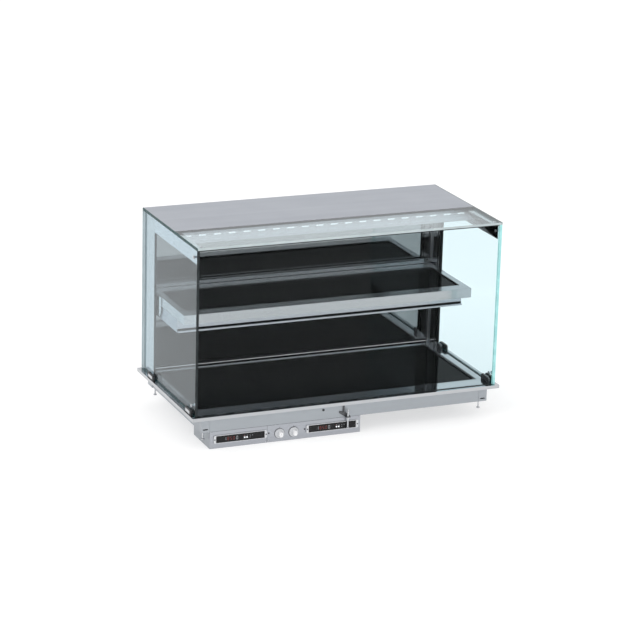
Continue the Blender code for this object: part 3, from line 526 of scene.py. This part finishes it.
FINISHED = (
    ("base_tray", rim_steel, "brushed_steel", 0.0007),
    ("casing_shell", satin_steel, "satin_steel", 0.0004),
    ("casing_front_panel", satin_steel, "satin_steel", 0.0004),
    ("front_clamp_bracket", dark_steel, "dark_steel", 0.0004),
    ("control_box", satin_steel, "satin_steel", 0.0004),
    ("control_panel_left", steel_x, "brushed_steel", 0.0003),
    ("control_panel_right", steel_x, "brushed_steel", 0.0003),
    ("controller_left_case", grey_plastic, "grey_plastic", 0.0004),
    ("controller_right_case", grey_plastic, "grey_plastic", 0.0004),
    ("post_left", steel_z, "brushed_steel", 0.0004),
    ("post_right", steel_z, "brushed_steel", 0.0004),
    ("head_arm_left", steel_y, "satin_steel", 0.0003),
    ("head_arm_right", steel_y, "satin_steel", 0.0003),
    ("head_fascia", steel_x, "brushed_steel", 0.0003),
    ("head_floor", steel_x, "brushed_steel", 0.0003),
    ("head_reflector", polished_steel, "brushed_steel", 0.0003),
    ("shelf_frame", shelf_steel, "brushed_steel", 0.0005),
    ("shelf_tray", steel_x, "brushed_steel", 0.0004),
    ("shelf_bracket_left", steel_z, "brushed_steel", 0.0004),
    ("shelf_bracket_right", steel_z, "brushed_steel", 0.0004),
    ("mid_rail", rail_steel, "brushed_steel", 0.0004),
    ("upper_door_hinge_rail", satin_steel, "satin_steel", 0.0003),
    ("lower_door_hinge_rail", satin_steel, "satin_steel", 0.0003),
    ("upper_door_handle", steel_x, "brushed_steel", 0.0004),
    ("lower_door_handle", steel_x, "brushed_steel", 0.0004),
    ("glass_clamp_front_left", black_plastic, "black_plastic", 0.0006),
    ("glass_clamp_front_right", black_plastic, "black_plastic", 0.0006),
    ("glass_clamp_rear_left", black_plastic, "black_plastic", 0.0006),
    ("glass_clamp_rear_right", black_plastic, "black_plastic", 0.0006),
    ("cable_gland", black_plastic, "black_plastic", 0.0004),
)
for node, finish, slot, rounding in FINISHED:
    finished_copy(node, finish, rounding)
for side in ("left", "right"):
    inside = abs(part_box(side + "_glass")[0 if side == "right" else 1].x) - 0.0001
    for place in ("front", "rear"):
        clamp = bpy.data.objects[f"glass_clamp_{place}_{side}_finished"]
        clamp.data.materials.append(jaw_grey)
        for face in clamp.data.polygons:
            face.material_index = int(abs(face.center.x) < inside)
    post = bpy.data.objects[f"post_{side}_finished"]
    # The post's front-facing faces set back behind its front get the darker steel, painted shade in the
    # recess.
    post.data.materials.append(post_recess_shade_steel)
    for face in post.data.polygons:
        behind_front = face.center.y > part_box("post_" + side)[0].y + 0.01
        face.material_index = int(face.normal.y < -0.9 and behind_front)
print(len(FINISHED), "parts have rounded edges")

# %% [markdown]
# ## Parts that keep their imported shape
# Plates, screws, seals and the inner heaters already have the right shape, so they only get their
# finish on the material slot they have.

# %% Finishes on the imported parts
KEPT = {
    hot_plate_black: ("hot_plate", "shelf_plate"),
    silicone: ("plate_seal",),
    heater_foil: ("plate_heater", "shelf_heater"),
    board: ("plate_insulation",),
    zinc: ("clamp_screw_front_left", "clamp_screw_front_right", "clamp_screw_rear_left",
           "clamp_screw_rear_right", "front_clamp_screw"),
    display_black: ("controller_left_lens", "controller_right_lens"),
    lit_white: ("controller_left_key_1", "controller_left_key_2", "controller_right_key_1",
                "controller_right_key_2"),
    black_plastic: ("regulator_block",),
    quartz: ("heater_element",),
}
for finish, nodes in KEPT.items():
    for node in nodes:
        mesh = frame["nodes"][node].data
        mesh.materials.clear()
        mesh.materials.append(finish)
print(sum(len(nodes) for nodes in KEPT.values()), "parts keep their packed shape")

# %% [markdown]
# ## Panes and flaps
# A pane is a copy of the imported one with a ground arris, a bevel under a millimetre wide. Its two
# large faces stay clear and its rim gets an edge finish that paints the light through the glass: a
# painted glow where light would leave it towards the guest or the staff, painted shade where it
# lies on a seal or on another pane. The flaps are made the same way: mirror to the guest side,
# paint to the staff side, ground glass round the rim in painted shade.


# %% Panes with ground edges
def glazed(node, name, axis, face_finish, rims, arris=0.0008):
    """A pane or flap: rims lists (direction, finish), tried in turn for every face of the rim."""
    piece = finished_copy(node, face_finish, arris, 1, name)
    low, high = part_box(node)
    for _, finish in rims:
        piece.data.materials.append(finish)
    for face in piece.data.polygons:
        bore_wall = abs(face.normal[axis]) < 0.999 and all(
            low[i] + 0.004 < face.center[i] < high[i] - 0.004 for i in range(3) if i != axis)
        if bore_wall:
            continue
        for number, (direction, _) in enumerate(rims, 1):
            if face.normal.dot(Vector(direction)) > 0.6 and abs(face.normal[axis]) < 0.999 or (
                    Vector(direction)[axis] and face.normal.dot(Vector(direction)) > 0.999):
                face.material_index = number
                break
    return piece


FRONT, REAR, LEFT, RIGHT, DOWN, UP = ((0, -1, 0), (0, 1, 0), (-1, 0, 0), (1, 0, 0), (0, 0, -1),
                                      (0, 0, 1))
# Each rim face gets its painted glow or painted shade by the way it faces.
glazed("left_glass", "pane_left", 0, left_pane_glass,
       ((FRONT, edge_smoky_painted_shade), (REAR, edge_pale_painted_glow), (DOWN, edge_green_painted_shade), (UP, edge_green_painted_shade)))
glazed("right_glass", "pane_right", 0, right_pane_glass,
       ((FRONT, edge_mint_painted_glow), (REAR, edge_pale_painted_glow), (DOWN, edge_green_painted_shade), (UP, edge_green_painted_shade)))
glazed("front_glass", "pane_front", 1, coated_glass,
       ((LEFT, edge_smoky_painted_shade), (RIGHT, edge_mint_painted_glow), (DOWN, edge_smoky_painted_shade), (UP, edge_smoky_painted_shade)))
glazed("top_glass", "pane_top", 2, pane_glass,
       ((FRONT, edge_pale_painted_glow), (REAR, edge_smoky_painted_shade), (LEFT, edge_green_painted_shade), (RIGHT, edge_green_painted_shade)))
MIRROR_RIMS = ((REAR, mirror_back), (LEFT, edge_smoky_painted_shade), (RIGHT, edge_smoky_painted_shade), (DOWN, edge_smoky_painted_shade),
               (UP, edge_smoky_painted_shade))
glazed("upper_door", "flap_mirror_upper", 1, grey_mirror, MIRROR_RIMS)
glazed("lower_door", "flap_mirror_lower", 1, grey_mirror, MIRROR_RIMS)
print("four panes and two mirrored flaps")

# %% [markdown]
# ## Roof and top pane between two beads
# The roof and the top pane lie between two dark beads that close the joint to the side panes. The
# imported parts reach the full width, so the faces at their ends are picked by their normal and
# pulled in, and the beads fill the room that this leaves.

# %% Roof and side beads
SIDE_BEAD = 0.0026


def pull_in(piece, reach):
    """Narrow a piece by one bead at both ends."""
    pick_faces(piece, lambda centre, normal: abs(centre.x) > reach - 0.0012 and abs(normal.x) > 0.3)
    bpy.ops.transform.resize(value=(1 - SIDE_BEAD / reach, 1, 1), center_override=(0, 0, 0))
    put_down()


roof = finished_copy("roof_cover", roof_steel, 0)
roof_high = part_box("roof_cover")[1]
pull_in(roof, roof_high.x)
soften(roof, 0.0005)
pull_in(bpy.data.objects["pane_top"], roof_high.x)
for side, sign in (("left", -1), ("right", 1)):
    strip = block((sign * (roof_high.x - SIDE_BEAD), 0.0004, roof_high.z - 0.0070),
                  (sign * roof_high.x, roof_high.y, roof_high.z - 0.0001))
    soften(strip, 0.0004)
    # The beads carry the dark green edge finish, the painted shade of a glass edge.
    hand_over(strip, "roof_bead_" + side, edge_green_painted_shade, "case")
print("roof width:", round(roof.dimensions.x, 4))

# %% [markdown]
# ## Glass bolts
# Each corner of the glass is held by a bolt with a flat disc head and a small hexagon socket. The
# head is a drum whose rim is beveled, and the socket is cut with a six-sided drum. The upper
# bolts pass the pane and the head arm, the lower ones hold a disc on both faces of the pane.


# %% Disc-headed bolts
LOWER_FIXING = (0.030, 0.045)
DISC_R = 0.0060
DISC_H = 0.0030
SHANK_R = 0.0034


def disc_bolt(axis, start, length, across):
    """A disc, a shank and a disc along an axis, between two coordinates."""
    def at(value):
        place = list(across)
        place.insert("XYZ".index(axis), value)
        return place
    head = drum(at(start), DISC_R, DISC_H, axis)
    tail = drum(at(start + length - DISC_H), DISC_R, DISC_H, axis)
    bore(head, drum(at(start - 0.001), 0.0028, 0.0028, axis, 6))
    bore(tail, drum(at(start + length - 0.0018), 0.0028, 0.0028, axis, 6))
    shank = drum(at(start + DISC_H - 0.0002), SHANK_R, length - 2 * DISC_H + 0.0004, axis, 16)
    bolt = joined([head, tail, shank])
    soften(bolt, 0.0004)
    return bolt


for side, sign in (("left", -1), ("right", 1)):
    low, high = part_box("top_connector_" + side)
    middle = (low + high) / 2
    bolt = disc_bolt("X", low.x, high.x - low.x, (middle.y, middle.z))
    hand_over(bolt, "glass_bolt_upper_" + side, zinc, "case")
    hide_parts("top_connector_" + side)
    pane_low, pane_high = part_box(side + "_glass")
    bolt = disc_bolt("X", pane_low.x - DISC_H - 0.0002, 0.0144, LOWER_FIXING)
    hand_over(bolt, "glass_bolt_lower_" + side, zinc, "case")
    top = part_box("top_glass")[1].z
    bolt = disc_bolt("Z", top - 0.0140, 0.0140 - 0.0002, (sign * 0.528, 0.018))
    hand_over(bolt, "glass_bolt_roof_" + side, zinc, "case")
print("six glass bolts")

# %% [markdown]
# ## Clamp pads, seals and the joint under the roof
# A bright plate covers the outer jaw of every glass clamp. Thin silicone beads close the joint
# between the side panes and the flange, the upright joint of the front pane and the joint between
# roof and top pane. Each post has a black lining in its slot and a black trim round its front
# edge, a black strip in the channel of the shelf's tray is painted shade where the gap between
# lip and tray lies in shadow, and a soft sweep closes the gap below the lower flap and swings with
# it. All are slim blocks with their long edges beveled.


# %% Pads, beads and strips
def bead(name, low, high, finish, rounding):
    piece = block(low, high)
    soften(piece, rounding)
    return hand_over(piece, name, finish, "case")


FLANGE_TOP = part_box("left_glass")[0].z
POST_SLOT = (0.4596, 0.4654)
POST_FOOT = FLANGE_TOP + 0.018
POST_HEAD = 0.528
PANE_INNER = 0.5417
REAR_PIN_Y = 0.425
PAD_HALF = 0.019
SEAL_T = 0.0012
head_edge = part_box("top_glass")[1].y
for side, sign in (("left", -1), ("right", 1)):
    for place in ("front", "rear"):
        low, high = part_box(f"glass_clamp_{place}_{side}")
        face = high.x if sign > 0 else low.x
        middle = (low.y + high.y) / 2 if place == "front" else REAR_PIN_Y
        bead(f"clamp_pad_{place}_{side}", (face, middle - PAD_HALF, FLANGE_TOP + 0.003),
             (face + sign * SEAL_T, middle + PAD_HALF, FLANGE_TOP + 0.0135), zinc, 0.0005)
    inner = sign * PANE_INNER
    post_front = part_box("post_" + side)[0].y
    bead("seal_foot_" + side, (inner, 0.081, FLANGE_TOP), (inner - sign * SEAL_T, 0.405,
         FLANGE_TOP + 0.0014), silicone, 0.0003)
    seal_top = 0.540 if sign < 0 else 0.046
    bead("seal_corner_" + side, (inner, 0.0083, FLANGE_TOP),
         (inner - sign * SEAL_T, 0.0095, seal_top), silicone, 0.0003)
    slot_low, slot_high = POST_SLOT
    bead("post_slot_lining_" + side, (inner - sign * 0.0070, slot_low, POST_FOOT),
         (inner - sign * 0.0038, slot_high, POST_HEAD), silicone, 0.0003)
    bead("post_front_trim_" + side, (inner - sign * 0.0001, post_front - 0.0008, POST_FOOT),
         (inner - sign * 0.0076, post_front + 0.012, POST_HEAD), silicone, 0.0002)
    bead("roof_joint_clip_" + side, (sign * 0.4670, head_edge - 0.0060, 0.5830),
         (sign * 0.4880, head_edge - 0.0004, 0.5898), silicone, 0.0002)
pane_low, pane_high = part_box("front_glass")
bead("seal_top_joint", (pane_low.x, pane_high.y + 0.0003, pane_high.z - 0.0050),
     (pane_high.x, pane_high.y + 0.0018, pane_high.z - 0.0002), silicone, 0.0003)
bead("seal_roof_joint", (-0.548, head_edge - 0.0004, 0.5830), (0.548, head_edge + 0.0001, 0.5896),
     silicone, 0.0001)
tray_low, tray_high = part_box("shelf_tray")
# A black strip in the tray's channel: painted shade for the shadowed gap between lip and tray.
bead("tray_channel_painted_shade", (tray_low.x + 0.001, tray_low.y + 0.0058, tray_low.z + 0.0062),
     (tray_high.x - 0.001, tray_low.y + 0.0069, tray_low.z + 0.0125), silicone, 0.0002)
door_low, door_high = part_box("lower_door")
sweep = bead("flap_sweep", (door_low.x + 0.002, door_low.y + 0.0006, FLANGE_TOP + 0.0010),
             (door_high.x - 0.002, door_low.y + 0.0030, door_low.z - 0.0001), silicone,
             0.0004)
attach(sweep, "lower_flap")
print("pads and seals are in place")

# %% [markdown]
# ## Painted glow behind the slots of the head
# Behind the row of slots runs a white panel whose emission is a painted glow, standing in for the
# bright light seen through the slots. It is a long block with its front face inset and pushed
# back, so that a rim holds it against the fascia.

# %% Panel with a painted glow behind the slots
fascia_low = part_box("head_fascia")[0]
diffuser = block((-0.530, fascia_low.y + 0.0018, 0.5625), (0.530, fascia_low.y + 0.0050, 0.5745))
pick_faces(diffuser, lambda centre, normal: normal.y < -0.9)
bpy.ops.mesh.inset(thickness=0.0015)
bpy.ops.transform.translate(value=(0, 0.0008, 0))
soften(diffuser, 0.0003)
hand_over(diffuser, "slot_painted_glow_panel", painted_glow_slot, "case")
print("diffuser length:", round(diffuser.dimensions.x, 3))

# %% [markdown]
# ## Knobs
# A knob has a wide skirt and a slim grip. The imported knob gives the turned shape; the grip gets
# two flats, cut with blocks, and a dark pointer line on its end, so the angle can be read.

# %% Knobs with a pointer
for side in ("left", "right"):
    node = "knob_" + side
    low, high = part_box(node)
    x, z = (low.x + high.x) / 2, (low.z + high.z) / 2
    knob = finished_copy(node, white_plastic, 0, 1, node + "_turned")
    for sign in (-1, 1):
        bore(knob, block((x + sign * 0.0056, low.y - 0.001, z - 0.02),
                         (x + sign * 0.0120, low.y + 0.0118, z + 0.02)))
    soften(knob, 0.0004)
    knob.data.materials.append(skirt_grey)
    for face in knob.data.polygons:
        face.material_index = int(face.center.y > low.y + 0.0110)
    pointer = block((x - 0.0006, low.y, z + 0.0005), (x + 0.0006, low.y + 0.0003, z + 0.0068))
    pick_faces(pointer, lambda centre, normal: normal.z > 0.9)
    bpy.ops.transform.resize(value=(0.5, 1, 1))
    soften(pointer, 0.0001)
    hand_over(pointer, node + "_pointer", ink, node)
    # A thin dark ring round the skirt: the dark gap behind the knob, and a painted shadow of the knob.
    skirt_ring = drum((x, high.y - 0.0002, z), 0.0183, 0.0007, "Y", 32)
    bore(skirt_ring, drum((x, high.y - 0.002, z), 0.0140, 0.004, "Y", 32))
    hand_over(skirt_ring, "knob_gap_painted_shadow_ring_" + side, ink, "case")
    tick = block((x - 0.0007, 0.0077, z + 0.0182), (x + 0.0007, 0.0080, z + 0.0212))
    soften(tick, 0.00005)
    hand_over(tick, "knob_tick_" + side, ink, "case")
print("two knobs with pointers")

# %% [markdown]
# ## Controllers
# A light clip with a tiny screw holds each end of a controller. Behind the window stand a number
# made of seven-segment bars, a status ring and a few plain symbols. One bar is modelled as a thin
# block with pointed ends, and all digits are copies of it.

# %% Segment bars and digits
SEGMENTS = {"0": "abcdef", "1": "bc", "8": "abcdefg", "5": "acdfg"}
DIGIT_W, DIGIT_H = 0.0062, 0.0115
BAR = 0.0013


def segment_bar(length):
    bar = block((-length / 2, -0.0001, -BAR / 2), (length / 2, 0.0001, BAR / 2))
    for sign in (-1, 1):
        pick_faces(bar, lambda centre, normal: normal.x * sign > 0.9)
        bpy.ops.mesh.extrude_region_move(TRANSFORM_OT_translate={"value": (sign * BAR / 2, 0, 0)})
        bpy.ops.transform.resize(value=(1, 1, 0.15))
    put_down()
    return bar


flat_bar = segment_bar(DIGIT_W - 2.2 * BAR)
tall_bar = segment_bar(DIGIT_H / 2 - 1.6 * BAR)
take(tall_bar)
bpy.ops.transform.rotate(value=math.pi / 2, orient_axis="Y", center_override=(0, 0, 0))
settle(tall_bar)
half_w, half_h = (DIGIT_W - BAR) / 2, (DIGIT_H - BAR) / 2
SPOTS = {"a": (0, half_h), "g": (0, 0), "d": (0, -half_h), "b": (half_w, half_h / 2),
         "c": (half_w, -half_h / 2), "f": (-half_w, half_h / 2), "e": (-half_w, -half_h / 2)}


def digit(figure, x, y, z):
    bars = []
    for letter in SEGMENTS[figure]:
        source = flat_bar if letter in "agd" else tall_bar
        dx, dz = SPOTS[letter]
        bars.append(moved(copy_of(source), (x + dx, y, z + dz)))
    return joined(bars)


print("one digit is", DIGIT_W, "by", DIGIT_H, "m")


# %% Fit both controllers
for side in ("left", "right"):
    low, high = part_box(f"controller_{side}_case")
    glass_low, glass_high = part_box(f"controller_{side}_lens")
    centre, z = (low.x + high.x) / 2, (low.z + high.z) / 2
    face = glass_low.y - 0.00012
    width = glass_high.x - glass_low.x
    start = glass_low.x
    number = joined([digit(figure, start + width * share, face, z)
                     for figure, share in (("8", 0.245), ("5", 0.305), ("0", 0.365))])
    hand_over(number, f"controller_{side}_number", lit_red, "case")
    lead = joined([digit("1", start + width * 0.185, face, z), digit("0", start + width * 0.43, face, z)])
    hand_over(lead, f"controller_{side}_lead_mark", dim_white, "case")
    marks = []
    for share, drop in ((0.59, 0.0042), (0.64, 0.0042), (0.70, 0.0030), (0.70, -0.0036),
                        (0.75, 0.0030)):
        mark = drum((start + width * share, face - 0.0001, z + drop), 0.0012, 0.0002, "Y", 6)
        marks.append(mark)
    hand_over(joined(marks), f"controller_{side}_symbols", dim_white, "case")
    status = drum((start + width * 0.575, face - 0.0001, z + 0.0046), 0.0014, 0.0002, "Y", 12)
    hand_over(status, f"controller_{side}_status_light", lit_red, "case")
    for end, sign in (("left", -1), ("right", 1)):
        edge = centre + sign * (high.x - low.x) / 2
        clip = block((edge - sign * 0.0038, low.y - 0.0008, z - 0.0120),
                     (edge + sign * 0.0026, low.y + 0.0033, z + 0.0120))
        pick_faces(clip, lambda middle, normal: normal.y < -0.9)
        bpy.ops.mesh.inset(thickness=0.0012)
        bpy.ops.transform.translate(value=(0, -0.0004, 0))
        soften(clip, 0.0004)
        hand_over(clip, f"controller_{side}_clip_{end}", grey_plastic, "case")
        screw_x = edge - sign * 0.0006
        screw = drum((screw_x, low.y - 0.0022, z), 0.0018, 0.0012, "Y", 12, 0.0025)
        bore(screw, block((screw_x - 0.0003, low.y - 0.004, z - 0.003),
                          (screw_x + 0.0003, low.y - 0.0016, z + 0.003)))
        hand_over(screw, f"controller_{side}_clip_screw_{end}", ink, "case")
for spare in (flat_bar, tall_bar):
    bpy.data.objects.remove(spare, do_unlink=True)
print("two controllers fitted")

# %% [markdown]
# ## Lamps and screws of the control panels
# Two dark indicator lamps sit beside the controllers and small pan-head screws hold the panels. A
# lamp is a drum with a narrower dome, and a screw head gets a cross recess cut by two blocks.


# %% Indicator lamps and panel screws
def pan_head(x, z, face, radius=0.0024):
    head = drum((x, face - 0.0014, z), radius * 0.62, 0.0014, "Y", 16, radius)
    soften(head, 0.0002, 2)
    for size in ((0.0013, 0.0003), (0.0003, 0.0013)):
        bore(head, block((x - size[0], face - 0.003, z - size[1]),
                         (x + size[0], face - 0.0007, z + size[1])))
    return head


PANEL_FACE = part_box("control_panel_left")[0].y
for number, x in enumerate((-0.2835, -0.1540), 1):
    lamp = drum((x, PANEL_FACE - 0.0008, -0.0755), 0.0028, 0.0008, "Y", 20)
    dome = drum((x, PANEL_FACE - 0.0020, -0.0755), 0.0012, 0.0012, "Y", 20, 0.0020)
    lamp = joined([lamp, dome])
    soften(lamp, 0.0002)
    hand_over(lamp, f"indicator_lamp_{number}", ink, "case")
panel_low, panel_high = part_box("control_panel_right")
seam = block((panel_low.x - 0.0007, PANEL_FACE - 0.0001, panel_low.z + 0.0006),
             (panel_low.x + 0.0004, PANEL_FACE + 0.0006, panel_high.z - 0.0006))
soften(seam, 0.0001)
hand_over(seam, "control_panel_seam", ink, "case")
panel_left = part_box("control_panel_left")[0].x
line = block((panel_left + 0.001, PANEL_FACE - 0.0001, panel_high.z - 0.0005),
             (panel_high.x - 0.001, PANEL_FACE + 0.0006, panel_high.z + 0.0003))
soften(line, 0.0001)
hand_over(line, "control_panel_top_seam", ink, "case")
PANEL_SCREWS = ((-0.4865, -0.1030), (-0.4865, -0.0535), (0.0430, -0.1030), (0.0430, -0.0535),
                (-0.2950, -0.1030), (-0.2845, -0.1030))
for number, (x, z) in enumerate(PANEL_SCREWS, 1):
    hand_over(pan_head(x, z, PANEL_FACE), f"panel_screw_{number}", zinc, "case")
cover_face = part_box("casing_front_panel")[0].y
plug = drum((-0.087, cover_face - 0.0006, -0.015), 0.0046, 0.0006, "Y", 20)
plug_stem = drum((-0.087, cover_face - 0.0001, -0.015), 0.0037, 0.0012, "Y", 20)
plug = joined([plug, plug_stem])
soften(plug, 0.0002)
hand_over(plug, "service_hole_plug", black_plastic, "case")
print("two lamps, a hole plug and", len(PANEL_SCREWS), "panel screws")

# %% [markdown]
# ## Studio: floor, light and camera
# The case is shown against a pale floor in an even, bright studio. The sky dome is almost white,
# one wide softbox stands to the upper left and one in front. The camera looks down at 17 degrees
# from 23 degrees to the left, with a long lens.

# %% Floor and lights
floor_z = cad_bounds[0].z - 0.0005
put_down()
bpy.ops.mesh.primitive_plane_add(size=60.0, location=(0, 0, floor_z))
floor = bpy.context.object
floor.name = "studio_floor"
floor_finish, tree, shader = new_finish("floor_pale", Roughness=0.9, Specular_IOR_Level=0.0,
                                        Emission_Color=(1, 1, 1, 1), Emission_Strength=0.55)
tree.links.new(shades(tree, noise(tree, (0.8, 0.8, 0.8)), (0.50, 0.50, 0.50), (0.52, 0.52, 0.52)),
               shader.inputs["Base Color"])
floor.data.materials.append(floor_finish)

world = bpy.data.worlds.new("studio_sky")
bpy.context.scene.world = world
world.use_nodes = True
sky = world.node_tree
background = sky.nodes["Background"]
where = sky.nodes.new("ShaderNodeTexCoord")
split = sky.nodes.new("ShaderNodeSeparateXYZ")
sky.links.new(where.outputs["Generated"], split.inputs[0])
sky.links.new(shades(sky, split.outputs["Z"], (0.80, 0.82, 0.85), (1.0, 1.0, 1.0), -0.2, 0.5),
              background.inputs["Color"])
background.inputs["Strength"].default_value = 1.05


def softbox(name, place, aim, size, power):
    put_down()
    bpy.ops.object.light_add(type="AREA", location=place)
    lamp = bpy.context.object
    lamp.name = name
    lamp.data.shape = "SQUARE"
    lamp.data.size = size
    lamp.data.energy = power
    lamp.visible_glossy = False
    lamp.rotation_euler = (Vector(aim) - Vector(place)).to_track_quat("-Z", "Y").to_euler()
    return lamp


softbox("softbox_left", (-3.5, -1.5, 3.5), (0, 0.2, 0.2), 2.5, 50)
softbox("softbox_front", (0.5, -4.5, 3.0), (0, 0.2, 0.2), 2.5, 12)

# %% Camera
azimuth, elevation, roll = (math.radians(a) for a in (23.14, 17.31, 1.59))
look = Vector((math.sin(azimuth) * math.cos(elevation), math.cos(azimuth) * math.cos(elevation),
               -math.sin(elevation)))
level = Vector((math.cos(azimuth), -math.sin(azimuth), 0))
upward = level.cross(look)
side_axis = math.cos(roll) * level + math.sin(roll) * upward
up_axis = math.cos(roll) * upward - math.sin(roll) * level
put_down()
bpy.ops.object.camera_add()
camera = bpy.context.object
camera.name = "camera"
camera.data.lens = 147.8
camera.data.sensor_width = 36.0
camera.data.clip_end = 100.0
turn = Matrix((side_axis, up_axis, -look)).transposed()
camera.matrix_world = Matrix.Translation((-3.3872, -7.6636, 2.9046)) @ turn.to_4x4()
bpy.context.scene.camera = camera
bpy.context.scene.view_settings.view_transform = "Standard"
print("camera lens:", camera.data.lens, "mm")
